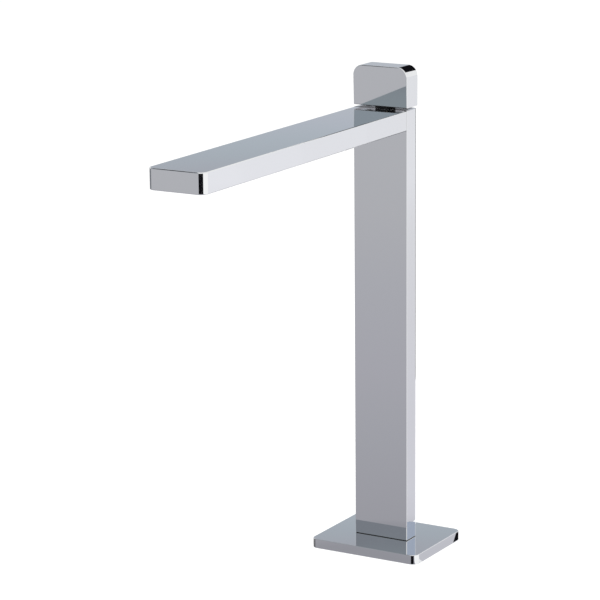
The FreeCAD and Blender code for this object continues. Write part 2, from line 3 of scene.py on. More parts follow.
import bmesh
import bpy
from mathutils import Matrix, Vector


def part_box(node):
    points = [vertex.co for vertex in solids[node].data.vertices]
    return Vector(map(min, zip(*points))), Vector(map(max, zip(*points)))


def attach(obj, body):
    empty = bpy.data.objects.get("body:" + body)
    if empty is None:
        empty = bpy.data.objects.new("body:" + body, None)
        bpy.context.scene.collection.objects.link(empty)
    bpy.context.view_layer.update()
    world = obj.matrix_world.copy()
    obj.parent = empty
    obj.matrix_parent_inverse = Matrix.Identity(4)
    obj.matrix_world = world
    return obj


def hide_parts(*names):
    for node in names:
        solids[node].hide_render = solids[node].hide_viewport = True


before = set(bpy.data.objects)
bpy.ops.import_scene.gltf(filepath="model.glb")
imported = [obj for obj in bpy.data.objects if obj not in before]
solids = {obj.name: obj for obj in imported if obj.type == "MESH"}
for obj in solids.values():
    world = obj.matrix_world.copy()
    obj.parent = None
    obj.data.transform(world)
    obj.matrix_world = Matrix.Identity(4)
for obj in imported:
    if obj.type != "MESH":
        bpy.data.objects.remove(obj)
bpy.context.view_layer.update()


# Threaded shank
# A brass tube turned and threaded outside, with a flange that the foot screws clamp under the plate.
# It passes through the hole in the deck and takes the back nut from below.

SHANK_RADIUS = 0.016
SHANK_BORE_RADIUS = 0.0138
SHANK_BOTTOM = -0.050
SHANK_THREAD_TOP = -0.004
SHANK_PITCH = 0.0015
FLANGE_RADIUS = 0.022
FLANGE_BOTTOM = 0.0004
FLANGE_TOP = 0.0026
BRASS = (0.75, 0.58, 0.29)
THREAD_DEPTH_SHARE = 0.61
CREST_SHARES = (0.42, 0.58)
THREAD_STEPS = 48
TURN_STEPS = 72
SHARP_ANGLE = math.radians(32)
PATTERN_RANGE = (0.3, 0.7)
TONE_STOPS = (0.32, 0.68)
WELD_DISTANCE = 0.000001
CUT_TOLERANCE = 0.0000001


def new_finish(name, colour, metallic, roughness):
    """A finish with even base values, and the place on the piece for its patterns."""
    finish = bpy.data.materials.new(name)
    finish.use_nodes = True
    tree = finish.node_tree
    shader = tree.nodes["Principled BSDF"]
    shader.inputs["Base Color"].default_value = (*colour, 1)
    shader.inputs["Metallic"].default_value = metallic
    shader.inputs["Roughness"].default_value = roughness
    place = tree.nodes.new("ShaderNodeTexCoord").outputs["Object"]
    return finish, tree, shader, place


def stretched(tree, place, scale):
    """The place on the piece, drawn out or pressed together along each axis."""
    mapping = tree.nodes.new("ShaderNodeMapping")
    mapping.inputs["Scale"].default_value = scale
    tree.links.new(place, mapping.inputs["Vector"])
    return mapping.outputs["Vector"]


def cloudy(tree, place, scale, detail):
    """A pattern of soft clouds."""
    noise = tree.nodes.new("ShaderNodeTexNoise")
    noise.inputs["Scale"].default_value = scale
    noise.inputs["Detail"].default_value = detail
    tree.links.new(place, noise.inputs["Vector"])
    return noise.outputs["Fac"]


def roughen(tree, pattern, shader, low, high):
    """Runs the roughness between two values with a pattern."""
    spread = tree.nodes.new("ShaderNodeMapRange")
    spread.inputs["From Min"].default_value = PATTERN_RANGE[0]
    spread.inputs["From Max"].default_value = PATTERN_RANGE[1]
    spread.inputs["To Min"].default_value = low
    spread.inputs["To Max"].default_value = high
    tree.links.new(pattern, spread.inputs["Value"])
    tree.links.new(spread.outputs["Result"], shader.inputs["Roughness"])


def tint(tree, pattern, shader, dark, light):
    """Runs the colour between two tones with a pattern."""
    ramp = tree.nodes.new("ShaderNodeValToRGB")
    for stop, position, tone in zip(ramp.color_ramp.elements, TONE_STOPS, (dark, light)):
        stop.position = position
        stop.color = (*tone, 1)
    tree.links.new(pattern, ramp.inputs["Fac"])
    tree.links.new(ramp.outputs["Color"], shader.inputs["Base Color"])


def relief(tree, pattern, shader, strength, depth):
    """Raises and lowers the surface a little with a pattern."""
    bump = tree.nodes.new("ShaderNodeBump")
    bump.inputs["Strength"].default_value = strength
    bump.inputs["Distance"].default_value = depth
    tree.links.new(pattern, bump.inputs["Height"])
    tree.links.new(bump.outputs["Normal"], shader.inputs["Normal"])


def turned_brass():
    finish, tree, shader, place = new_finish("turned_brass", BRASS, metallic=1.0, roughness=0.3)
    tool_marks = cloudy(tree, stretched(tree, place, (60, 60, 5200)), scale=1.0, detail=3.0)
    roughen(tree, tool_marks, shader, low=0.2, high=0.42)
    relief(tree, tool_marks, shader, strength=0.25, depth=0.00002)
    handling = cloudy(tree, place, scale=110.0, detail=4.0)
    tint(tree, handling, shader, dark=(0.66, 0.49, 0.22), light=(0.78, 0.61, 0.32))
    return finish


def root_radius(radius, pitch):
    """The radius at the bottom of a thread's groove."""
    return radius - THREAD_DEPTH_SHARE * pitch


def helix(radius, pitch, bottom, top):
    """A thread's outside between two heights, cut level at both ends, and its lower and upper rims."""
    bm = bmesh.new()
    root = root_radius(radius, pitch)
    start = bottom - pitch
    crest_low, crest_high = CREST_SHARES
    corners = [
        bm.verts.new((root, 0, start)),
        bm.verts.new((radius, 0, start + crest_low * pitch)),
        bm.verts.new((radius, 0, start + crest_high * pitch)),
        bm.verts.new((root, 0, start + pitch)),
    ]
    edges = [bm.edges.new(pair) for pair in zip(corners, corners[1:])]
    turns = math.ceil((top - start) / pitch) + 1
    bmesh.ops.spin(
        bm,
        geom=corners + edges,
        cent=(0, 0, 0),
        axis=(0, 0, 1),
        dvec=(0, 0, pitch / THREAD_STEPS),
        angle=2 * math.pi * turns,
        steps=THREAD_STEPS * turns,
    )
    bmesh.ops.remove_doubles(bm, verts=bm.verts, dist=WELD_DISTANCE)
    rims = []
    for height, outwards in ((bottom, -1), (top, 1)):
        cut = bmesh.ops.bisect_plane(
            bm,
            geom=bm.verts[:] + bm.edges[:] + bm.faces[:],
            dist=CUT_TOLERANCE,
            plane_co=(0, 0, height),
            plane_no=(0, 0, outwards),
            clear_outer=True,
        )
        rims.append([part for part in cut["geom_cut"] if isinstance(part, bmesh.types.BMEdge)])
    return bm, rims


def round_hole(bm, radius, x, y, z, steps=TURN_STEPS):
    """A level ring of edges, ready to be the rim of a hole."""
    made = bmesh.ops.create_circle(bm, cap_ends=False, radius=radius, segments=steps)
    bmesh.ops.translate(bm, vec=(x, y, z), verts=made["verts"])
    return list({edge for vertex in made["verts"] for edge in vertex.link_edges})


def sink(bm, rim, shift, share=None):
    """Draws a wall from a rim and returns its far rim, which a share narrows about the tap's axis."""
    made = bmesh.ops.extrude_edge_only(bm, edges=rim)["geom"]
    verts = [part for part in made if isinstance(part, bmesh.types.BMVert)]
    bmesh.ops.translate(bm, vec=shift, verts=verts)
    if share:
        bmesh.ops.scale(bm, vec=(share, share, 1), verts=verts)
    return [part for part in made if isinstance(part, bmesh.types.BMEdge)]


def cap(bm, rim):
    bmesh.ops.edgeloop_fill(bm, edges=rim)


def bridge(bm, first, second):
    bmesh.ops.bridge_loops(bm, edges=first + second)


def all_smooth(bm):
    for face in bm.faces:
        face.smooth = True


def sharp_edges(bm):
    return [edge for edge in bm.edges if edge.is_manifold and edge.calc_face_angle() > SHARP_ANGLE]


def settle_normals(mesh):
    """Lets rounded edges run out into the flats beside them, and larger faces lead smaller ones."""
    around = {}
    for face in mesh.polygons:
        for vertex in face.vertices:
            around.setdefault(vertex, []).append(face)
    limit = math.cos(SHARP_ANGLE)
    normals = []
    for face in mesh.polygons:
        for vertex in face.vertices:
            beside = [other for other in around[vertex] if other.normal.dot(face.normal) > limit]
            flats = [other.normal for other in beside if not other.use_smooth]
            if not face.use_smooth:
                normal = face.normal.copy()
            elif flats:
                normal = max(flats, key=face.normal.dot).copy()
            else:
                normal = sum((other.normal * other.area for other in beside), Vector()).normalized()
            normals.append(normal)
    mesh.normals_split_custom_set(normals)


def set_up(bm, name):
    """Turns a mesh that is being built into an object of the scene."""
    mesh = bpy.data.meshes.new(name)
    bm.to_mesh(mesh)
    bm.free()
    made = bpy.data.objects.new(name, mesh)
    bpy.context.scene.collection.objects.link(made)
    return made


def finished(bm, name, finish, body, slot, *replaced):
    """Makes a mesh a finished piece that stands for solids of the frame."""
    bmesh.ops.recalc_face_normals(bm, faces=bm.faces)
    for edge in sharp_edges(bm):
        edge.smooth = False
    piece = set_up(bm, name)
    piece.data.materials.append(finish)
    settle_normals(piece.data)
    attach(piece, body)
    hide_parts(*replaced)
    return piece


brass = turned_brass()
neck_bottom = SHANK_THREAD_TOP + SHANK_PITCH / 2
shank, (shank_end, shank_start) = helix(SHANK_RADIUS, SHANK_PITCH, SHANK_BOTTOM, SHANK_THREAD_TOP)
bore_end = round_hole(shank, SHANK_BORE_RADIUS, 0, 0, SHANK_BOTTOM)
bridge(shank, shank_end, bore_end)
bore_top = sink(shank, bore_end, (0, 0, FLANGE_BOTTOM - SHANK_BOTTOM))
neck_low = round_hole(shank, root_radius(SHANK_RADIUS, SHANK_PITCH), 0, 0, neck_bottom)
bridge(shank, shank_start, neck_low)
neck_high = sink(shank, neck_low, (0, 0, FLANGE_BOTTOM - neck_bottom))
flange_low = round_hole(shank, FLANGE_RADIUS, 0, 0, FLANGE_BOTTOM)
bridge(shank, neck_high, flange_low)
flange_high = sink(shank, flange_low, (0, 0, FLANGE_TOP - FLANGE_BOTTOM))
cap(shank, flange_high)
cap(shank, bore_top)
all_smooth(shank)
finished(shank, "shank_tube", brass, "tap_body", "bare_brass", "threaded_shank")


# Clamping stack
# A soft rubber washer against the underside of the deck, a pressed steel washer and a brass hexagon nut.
# The nut is milled from bar, with the ends of its flats softened, and pulls the shank down.

WASHER_RADIUS = 0.026
WASHER_BORE_RADIUS = 0.0163
WASHER_SEGMENTS = 3
DECK_WASHER_HEIGHTS = (-0.023, -0.020)
DECK_WASHER_EASING = 0.0006
CLAMP_WASHER_HEIGHTS = (-0.025, -0.023)
CLAMP_WASHER_EASING = 0.0003
HEXAGON_SIDES = 6
HEXAGON_SEGMENTS = 2
NUT_HEIGHTS = (-0.033, -0.025)
NUT_ACROSS_FLATS = 0.046
NUT_BORE_RADIUS = 0.01605
NUT_EASING = 0.0006
CORNER_TOLERANCE = 0.0001
LEVEL_TOLERANCE = 0.00001
UPRIGHT_TOLERANCE = 0.000001
FACING_SHARE = 0.999
RUBBER = (0.035, 0.035, 0.037)
STEEL = (0.62, 0.62, 0.61)


def sealing_rubber():
    finish, tree, shader, place = new_finish("sealing_rubber", RUBBER, metallic=0.0, roughness=0.75)
    bloom = cloudy(tree, place, scale=260.0, detail=5.0)
    roughen(tree, bloom, shader, low=0.62, high=0.9)
    dust = cloudy(tree, place, scale=70.0, detail=3.0)
    tint(tree, dust, shader, dark=(0.026, 0.026, 0.028), light=(0.046, 0.046, 0.048))
    relief(tree, cloudy(tree, place, scale=2600.0, detail=2.0), shader, strength=0.3, depth=0.00003)
    return finish


def satin_steel():
    finish, tree, shader, place = new_finish("satin_steel", STEEL, metallic=1.0, roughness=0.32)
    grain = cloudy(tree, stretched(tree, place, (3200, 160, 160)), scale=1.0, detail=3.0)
    roughen(tree, grain, shader, low=0.22, high=0.42)
    relief(tree, grain, shader, strength=0.15, depth=0.00001)
    handling = cloudy(tree, place, scale=90.0, detail=3.0)
    tint(tree, handling, shader, dark=(0.56, 0.56, 0.55), light=(0.66, 0.66, 0.65))
    return finish


def ring_outline(inner, outer, bottom, top):
    return [(inner, bottom), (outer, bottom), (outer, top), (inner, top)]


def lathe(outline, x=0.0, y=0.0):
    """Turns a closed outline of (radius, height) corners about an upright axis."""
    bm = bmesh.new()
    corners = [bm.verts.new((radius, 0, height)) for radius, height in outline]
    edges = [bm.edges.new((corners[i - 1], corners[i])) for i in range(len(corners))]
    bmesh.ops.spin(
        bm,
        geom=corners + edges,
        cent=(0, 0, 0),
        axis=(0, 0, 1),
        angle=2 * math.pi,
        steps=TURN_STEPS,
        use_merge=True,
    )
    bmesh.ops.remove_doubles(bm, verts=bm.verts, dist=WELD_DISTANCE)
    bmesh.ops.recalc_face_normals(bm, faces=bm.faces)
    bmesh.ops.translate(bm, vec=(x, y, 0), verts=bm.verts)
    return bm


def round_over(bm, edges, radius, segments):
    """Rounds edges and keeps the rounding smooth between its flats."""
    rounding = bmesh.ops.bevel(
        bm,
        geom=edges,
        offset=radius,
        affect="EDGES",
        segments=segments,
        profile=0.5,
        material=-1,
        clamp_overlap=True,
    )
    for face in rounding["faces"]:
        face.smooth = True


def flat_at(bm, normal, height):
    """The largest flat face that looks along normal at that height along it."""
    normal = Vector(normal)
    found = [
        face
        for face in bm.faces
        if face.normal.dot(normal) > FACING_SHARE
        and abs(face.calc_center_median().dot(normal) - height) < LEVEL_TOLERANCE
    ]
    return max(found, key=lambda face: face.calc_area())


def fill_flat(bm, edges, normal):
    """Fills the flat between an outline and the rims of its holes."""
    bmesh.ops.triangle_fill(bm, use_beauty=True, use_dissolve=False, edges=edges, normal=normal)


def pierce(bm, face, rims):
    """Fills a flat face again round the rims of its holes."""
    outline = list(face.edges)
    normal = face.normal.copy()
    bmesh.ops.delete(bm, geom=[face], context="FACES_ONLY")
    fill_flat(bm, outline + [edge for rim in rims for edge in rim], normal)


def upright(edge):
    first, second = (vertex.co for vertex in edge.verts)
    return (first.xy - second.xy).length < UPRIGHT_TOLERANCE


rubber = sealing_rubber()
steel = satin_steel()
for name, finish, slot, node, heights, easing in (
    ("deck_sealing_washer", rubber, "black_rubber", "deck_washer", DECK_WASHER_HEIGHTS, DECK_WASHER_EASING),
    ("steel_washer", steel, "stainless_steel", "clamp_washer", CLAMP_WASHER_HEIGHTS, CLAMP_WASHER_EASING),
):
    washer = lathe(ring_outline(WASHER_BORE_RADIUS, WASHER_RADIUS, *heights))
    round_over(washer, sharp_edges(washer), easing, WASHER_SEGMENTS)
    all_smooth(washer)
    finished(washer, name, finish, "tap_body", slot, node)

nut_low, nut_high = NUT_HEIGHTS
nut = bmesh.new()
nut_corner_radius = NUT_ACROSS_FLATS / math.sqrt(3)
nut_rim = round_hole(nut, nut_corner_radius, 0, 0, nut_low, HEXAGON_SIDES)
cap(nut, nut_rim)
cap(nut, sink(nut, nut_rim, (0, 0, nut_high - nut_low)))
bmesh.ops.recalc_face_normals(nut, faces=nut.faces)
nut_bore_rims = []
for side, height in ((1, nut_high), (-1, nut_low)):
    rim = round_hole(nut, NUT_BORE_RADIUS, 0, 0, height)
    pierce(nut, flat_at(nut, (0, 0, side), side * height), [rim])
    nut_bore_rims.append(rim)
bridge(nut, *nut_bore_rims)
bmesh.ops.recalc_face_normals(nut, faces=nut.faces)
nut_corners = [
    vertex for vertex in nut.verts if abs(vertex.co.xy.length - nut_corner_radius) < CORNER_TOLERANCE
]
flat_ends = [
    edge
    for edge in nut.edges
    if not upright(edge) and all(vertex in nut_corners for vertex in edge.verts)
]
round_over(nut, flat_ends, NUT_EASING, HEXAGON_SEGMENTS)
finished(nut, "hexagon_back_nut", brass, "tap_body", "bare_brass", "back_nut")


# Inlet tail
# A drawn brass tail that pushes up into the foot block on its rubber seal, with a hexagon to hold while the
# supply hose is screwed to the thread below it.

TAIL_RADIUS = 0.0049
TAIL_BORE_RADIUS = 0.0032
TAIL_TOP = 0.0172
TAIL_STEPS = 48
TAIL_HEX_HEIGHTS = (-0.063, -0.056)
TAIL_HEX_ACROSS_FLATS = 0.017
TAIL_HEX_EASING = 0.0005
SUPPLY_RADIUS = 0.00833
SUPPLY_PITCH = 0.001337
SUPPLY_BOTTOM = -0.075


def paint(finish, *names):
    """Gives solids that stay in view their finish."""
    for name in names:
        for slot in solids[name].material_slots:
            slot.material = finish


hex_low, hex_high = TAIL_HEX_HEIGHTS
tail, (tail_end, thread_top) = helix(SUPPLY_RADIUS, SUPPLY_PITCH, SUPPLY_BOTTOM, hex_low - SUPPLY_PITCH)
bore_low = round_hole(tail, TAIL_BORE_RADIUS, 0, 0, SUPPLY_BOTTOM, TAIL_STEPS)
bridge(tail, tail_end, bore_low)
bore_high = sink(tail, bore_low, (0, 0, TAIL_TOP - SUPPLY_BOTTOM))
tail_top_rim = round_hole(tail, TAIL_RADIUS, 0, 0, TAIL_TOP, TAIL_STEPS)
bridge(tail, bore_high, tail_top_rim)
tail_low_rim = sink(tail, tail_top_rim, (0, 0, hex_high - TAIL_TOP))
undercut = round_hole(tail, root_radius(SUPPLY_RADIUS, SUPPLY_PITCH), 0, 0, hex_low, TAIL_STEPS)
bridge(tail, thread_top, undercut)
all_smooth(tail)
hexagon_low = round_hole(tail, TAIL_HEX_ACROSS_FLATS / math.sqrt(3), 0, 0, hex_low, HEXAGON_SIDES)
fill_flat(tail, hexagon_low + undercut, (0, 0, -1))
hexagon_high = sink(tail, hexagon_low, (0, 0, hex_high - hex_low))
fill_flat(tail, hexagon_high + tail_low_rim, (0, 0, 1))
bmesh.ops.recalc_face_normals(tail, faces=tail.faces)
round_over(tail, hexagon_low + hexagon_high, TAIL_HEX_EASING, HEXAGON_SEGMENTS)
finished(tail, "inlet_tail_pipe", brass, "tap_body", "bare_brass", "inlet_tail")
paint(rubber, "inlet_seal")


# Foot screws
# Two socket-head screws of stainless steel with rolled threads. They are driven up through the shank's
# flange and the plate into the foot block, and hold all three together.

paint(steel, "foot_screws")


# Base plate
# A flat brass plate, milled with rounded corners and a softened top edge, polished and chrome plated.
# Its underside is let in for the gasket and for the flange of the shank.

BASE_LOW, BASE_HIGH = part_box("base_plate")
BASE_CORNER_RADIUS = 0.0049
BASE_CORNER_SEGMENTS = 16
BASE_EDGE_RADIUS = 0.0003
BASE_EDGE_SEGMENTS = 4
GASKET_MARGIN = 0.0022
GASKET_RECESS = 0.0012
FLANGE_RECESS_RADIUS = 0.0223
CHROME = (0.80, 0.81, 0.82)
NEAR_TOLERANCE = 0.000005


def polished_chrome():
    finish, tree, shader, place = new_finish("polished_chrome", CHROME, metallic=1.0, roughness=0.03)
    wiped = cloudy(tree, stretched(tree, place, (34, 34, 12)), scale=1.0, detail=4.0)
    roughen(tree, wiped, shader, low=0.018, high=0.05)
    relief(tree, cloudy(tree, place, scale=55.0, detail=2.0), shader, strength=0.012, depth=0.0002)
    return finish


def slab(low, high):
    """A plain block between two corners."""
    bm = bmesh.new()
    bmesh.ops.create_cube(bm, size=1.0)
    bmesh.ops.scale(bm, vec=high - low, verts=bm.verts)
    bmesh.ops.translate(bm, vec=(high + low) / 2, verts=bm.verts)
    return bm


def near(value, target):
    return abs(value - target) < NEAR_TOLERANCE


def edges_where(bm, test):
    return [edge for edge in bm.edges if all(test(vertex.co) for vertex in edge.verts)]


def open_inside(bm, face, margin):
    """Opens a flat face inside a margin and returns the rim of the opening."""
    bmesh.ops.inset_region(bm, faces=[face], thickness=margin, use_even_offset=True)
    rim = list(face.edges)
    bmesh.ops.delete(bm, geom=[face], context="FACES_ONLY")
    return rim


chrome = polished_chrome()
plate = slab(BASE_LOW, BASE_HIGH)
round_over(plate, [edge for edge in plate.edges if upright(edge)], BASE_CORNER_RADIUS, BASE_CORNER_SEGMENTS)
plate_top_edges = edges_where(plate, lambda place: near(place.z, BASE_HIGH.z))
round_over(plate, plate_top_edges, BASE_EDGE_RADIUS, BASE_EDGE_SEGMENTS)
recess_rim = open_inside(plate, flat_at(plate, (0, 0, -1), -BASE_LOW.z), GASKET_MARGIN)
recess_top = sink(plate, recess_rim, (0, 0, GASKET_RECESS))
flange_rim = round_hole(plate, FLANGE_RECESS_RADIUS, 0, 0, GASKET_RECESS)
fill_flat(plate, recess_top + flange_rim, (0, 0, -1))
cap(plate, sink(plate, flange_rim, (0, 0, FLANGE_TOP - GASKET_RECESS)))
finished(plate, "chromed_base", chrome, "tap_body", "chrome_plate", "base_plate")
paint(rubber, "base_gasket", "column_gasket")


# Column
# A drawn brass box on a foot block that is screwed down on the plate, polished and chrome plated.
# The solid head brazed into it is bored for the valve and for two screws that lock the spout. Under the
# knob the head's top is left as it was milled, with dull plating inside a polished rim; that plating is
# coloured dark grey as painted shade for the gap under the knob.

COLUMN_LOW, COLUMN_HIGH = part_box("column_body")
COLUMN_EDGE_RADIUS = 0.0004
COLUMN_EDGE_SEGMENTS = 5
COLUMN_REAR_RADIUS = 0.0024
COLUMN_REAR_SEGMENTS = 12
SEAM_RADIUS = 0.00025
HEAD_EDGE_RADIUS = 0.0001
COLUMN_END_SEGMENTS = 3
VALVE_BORE_RADIUS = 0.0058
VALVE_BORE_DEPTH = 0.0364
LOCK_HOLE_RADIUS = 0.00205
LOCK_HOLE_X = 0.013
LOCK_HOLE_Y = 0.0026
LOCK_HOLE_DEPTH = 0.0045
SMALL_HOLE_STEPS = 40
COLUMN_WALL = 0.0016
CAVITY_HEIGHT = 0.23505
HEAD_RIM = 0.002
# Painted shade: the dark grey of the head's top under the knob, where the gap is in shade.
HEAD_PAINTED_SHADE_GREY = (0.30, 0.305, 0.31)
COPPER = (0.80, 0.48, 0.33)


def riser_copper():
    finish, tree, shader, place = new_finish("riser_copper", COPPER, metallic=1.0, roughness=0.3)
    tarnish = cloudy(tree, place, scale=85.0, detail=5.0)
    tint(tree, tarnish, shader, dark=(0.62, 0.33, 0.22), light=(0.84, 0.52, 0.36))
    drawn = cloudy(tree, stretched(tree, place, (2400, 2400, 60)), scale=1.0, detail=2.0)
    roughen(tree, drawn, shader, low=0.22, high=0.45)
    return finish


# Rough, dull plating whose dark grey is painted shade for the gap under the knob.
def dull_plating_painted_shade():
    finish, tree, shader, place = new_finish("dull_plating_painted_shade", HEAD_PAINTED_SHADE_GREY, metallic=1.0, roughness=0.3)
    milled = cloudy(tree, stretched(tree, place, (180, 2600, 180)), scale=1.0, detail=3.0)
    roughen(tree, milled, shader, low=0.24, high=0.42)
    cloud = cloudy(tree, place, scale=240.0, detail=3.0)
    tint(tree, cloud, shader, dark=(0.25, 0.255, 0.26), light=(0.34, 0.345, 0.35))
    return finish


column = slab(COLUMN_LOW, COLUMN_HIGH)
for face_y, radius, segments in (
    (COLUMN_LOW.y, COLUMN_EDGE_RADIUS, COLUMN_EDGE_SEGMENTS),
    (COLUMN_HIGH.y, COLUMN_REAR_RADIUS, COLUMN_REAR_SEGMENTS),
):
    corners = [edge for edge in column.edges if upright(edge) and near(edge.verts[0].co.y, face_y)]
    round_over(column, corners, radius, segments)
for level, radius in ((COLUMN_LOW.z, SEAM_RADIUS), (COLUMN_HIGH.z, HEAD_EDGE_RADIUS)):
    end_edges = edges_where(column, lambda place: near(place.z, level))
    round_over(column, end_edges, radius, COLUMN_END_SEGMENTS)
valve_rim = round_hole(column, VALVE_BORE_RADIUS, 0, 0, COLUMN_HIGH.z)
lock_rims = [
    round_hole(column, LOCK_HOLE_RADIUS, x, LOCK_HOLE_Y, COLUMN_HIGH.z, SMALL_HOLE_STEPS)
    for x in (-LOCK_HOLE_X, LOCK_HOLE_X)
]
head = flat_at(column, (0, 0, 1), COLUMN_HIGH.z)
bmesh.ops.inset_region(column, faces=[head], thickness=HEAD_RIM, use_even_offset=True)
pierce(column, head, [valve_rim, *lock_rims])
head_reach = COLUMN_HIGH.x - HEAD_RIM
# The faces inside the polished rim take the dark finish, which is painted shade under the knob.
for face in column.faces:
    if all(near(vertex.co.z, COLUMN_HIGH.z) and abs(vertex.co.x) < head_reach for vertex in face.verts):
        face.material_index = 1
cap(column, sink(column, valve_rim, (0, 0, -VALVE_BORE_DEPTH)))
for rim in lock_rims:
    cap(column, sink(column, rim, (0, 0, -LOCK_HOLE_DEPTH)))
cavity_rim = open_inside(column, flat_at(column, (0, 0, -1), -COLUMN_LOW.z), COLUMN_WALL - SEAM_RADIUS)
cap(column, sink(column, cavity_rim, (0, 0, CAVITY_HEIGHT)))
column_piece = finished(column, "chromed_column", chrome, "tap_body", "chrome_plate", "column_body")
column_piece.data.materials.append(dull_plating_painted_shade())
paint(brass, "foot_block")
paint(riser_copper(), "riser_tube")


# Valve
# A brass headwork with a pair of ceramic discs, turned by a brass spindle on two rubber rings. It drops
# into the bored head of the column, and a steel clip on the spindle keeps it together. A moulded black ring
# lies on the head round the spindle, for the knob to glide on.

CERAMIC = (0.92, 0.90, 0.85)
ACETAL_BLACK = (0.012, 0.012, 0.014)
ACETAL_BLACK_SHEEN = 0.15
GLIDE_RADIUS = 0.0064
GLIDE_BORE_RADIUS = 0.00445
GLIDE_GAP = 0.00005


def lapped_ceramic():
    finish, tree, shader, place = new_finish("lapped_ceramic", CERAMIC, metallic=0.0, roughness=0.25)
    speckle = cloudy(tree, place, scale=1800.0, detail=2.0)
    tint(tree, speckle, shader, dark=(0.88, 0.86, 0.80), light=(0.94, 0.92, 0.88))
    roughen(tree, cloudy(tree, place, scale=320.0, detail=3.0), shader, low=0.16, high=0.34)
    return finish


def moulded_acetal(name, colour, sheen, dark, light):
    finish, tree, shader, place = new_finish(name, colour, metallic=0.0, roughness=0.4)
    shader.inputs["Specular IOR Level"].default_value = sheen
    roughen(tree, cloudy(tree, place, scale=420.0, detail=3.0), shader, low=0.32, high=0.5)
    tint(tree, cloudy(tree, place, scale=120.0, detail=2.0), shader, dark, light)
    relief(tree, cloudy(tree, place, scale=3000.0, detail=2.0), shader, strength=0.2, depth=0.00001)
    return finish


paint(brass, "headwork_body", "spindle")
paint(lapped_ceramic(), "fixed_disc", "moving_disc")
paint(rubber, "headwork_seal", "seat_seal", "spindle_seals")
paint(steel, "spindle_clip")

glide_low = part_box("glide_ring")[0]
glide_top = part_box("knob")[0].z - GLIDE_GAP
glide = lathe(ring_outline(GLIDE_BORE_RADIUS, GLIDE_RADIUS, glide_low.z, glide_top))
all_smooth(glide)
black_acetal = moulded_acetal(
    "black_acetal",
    ACETAL_BLACK,
    ACETAL_BLACK_SHEEN,
    dark=(0.008, 0.008, 0.010),
    light=(0.016, 0.016, 0.018),
)
finished(glide, "glide_collar", black_acetal, "tap_body", "black_acetal", "glide_ring")


# Spout
# A flat brass box folded and brazed along its length, with its tip rounded in plan, polished and chromed.
# A block in its rear end takes two dowels from the column, locked by screws that the knob hides.

SPOUT_LOW, SPOUT_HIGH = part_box("spout_shell")
TIP_RADIUS = 0.0046
TIP_SEGMENTS = 16
SPOUT_EDGE_RADIUS = 0.0006
SPOUT_EDGE_SEGMENTS = 5
SPOUT_WALL = 0.0015
SPOUT_TIP_WALL = 0.0025
OUTLET_Y = -0.2265
OUTLET_HOLE_RADIUS = 0.0094


def spout_box(low, high, tip_radius):
    """A block with its two upright edges at the tip rounded."""
    box = slab(low, high)
    tip_corners = [edge for edge in box.edges if upright(edge) and near(edge.verts[0].co.y, low.y)]
    round_over(box, tip_corners, tip_radius, TIP_SEGMENTS)
    return box


def open_rims(bm, test):
    return [edge for edge in edges_where(bm, test) if edge.is_boundary]


spout = spout_box(SPOUT_LOW, SPOUT_HIGH, TIP_RADIUS)
lower_edges = edges_where(spout, lambda place: near(place.z, SPOUT_LOW.z))
round_over(spout, lower_edges, SPOUT_EDGE_RADIUS, SPOUT_EDGE_SEGMENTS)
upper_edges = edges_where(spout, lambda place: near(place.z, SPOUT_HIGH.z))
at_joint = edges_where(spout, lambda place: near(place.y, SPOUT_HIGH.y))
free_upper_edges = [edge for edge in upper_edges if edge not in at_joint]
round_over(spout, free_upper_edges, SPOUT_EDGE_RADIUS, SPOUT_EDGE_SEGMENTS)
outlet_low = round_hole(spout, OUTLET_HOLE_RADIUS, 0, OUTLET_Y, SPOUT_LOW.z)
pierce(spout, flat_at(spout, (0, 0, -1), -SPOUT_LOW.z), [outlet_low])

inner_low = SPOUT_LOW + Vector((SPOUT_WALL, SPOUT_TIP_WALL, SPOUT_WALL))
inner_high = Vector((SPOUT_HIGH.x - SPOUT_WALL, SPOUT_HIGH.y, SPOUT_HIGH.z - SPOUT_WALL))
hollow = spout_box(inner_low, inner_high, TIP_RADIUS - SPOUT_WALL)
outlet_high = round_hole(hollow, OUTLET_HOLE_RADIUS, 0, OUTLET_Y, inner_low.z)
pierce(hollow, flat_at(hollow, (0, 0, -1), -inner_low.z), [outlet_high])
hollow_mesh = bpy.data.meshes.new("spout_hollow")
hollow.to_mesh(hollow_mesh)
hollow.free()
spout.from_mesh(hollow_mesh)
bpy.data.meshes.remove(hollow_mesh)

outer_outlet = open_rims(spout, lambda place: near(place.z, SPOUT_LOW.z))
inner_outlet = open_rims(spout, lambda place: near(place.z, inner_low.z))
bridge(spout, outer_outlet, inner_outlet)
outer_end = flat_at(spout, (0, 1, 0), SPOUT_HIGH.y)
bmesh.ops.delete(spout, geom=[outer_end], context="FACES_ONLY")
inner_end = flat_at(spout, (0, 1, 0), SPOUT_HIGH.y)
bmesh.ops.delete(spout, geom=[inner_end], context="FACES_ONLY")
fill_flat(spout, open_rims(spout, lambda place: near(place.y, SPOUT_HIGH.y)), (0, 1, 0))
finished(spout, "chromed_spout", chrome, "tap_body", "chrome_plate", "spout_shell")
paint(brass, "spout_end_block")
paint(steel, "spout_dowels", "spout_lock_screws")
paint(rubber, "spout_face_seal", "spout_gasket")


# Outlet
# A brass ring brazed inside the spout holds the aerator: a chromed housing with a moulded comb and a steel
# screen in it, pushed up against a rubber gasket.

HOUSING_RADIUS = 0.0092
HOUSING_BORE_RADIUS = 0.0077
HOUSING_LIP_RADIUS = 0.0067
HOUSING_LIP_HEIGHT = 0.001
HOUSING_EASING = 0.0002
HOUSING_SEGMENTS = 3
ACETAL_WHITE = (0.83, 0.84, 0.84)
ACETAL_WHITE_SHEEN = 0.5

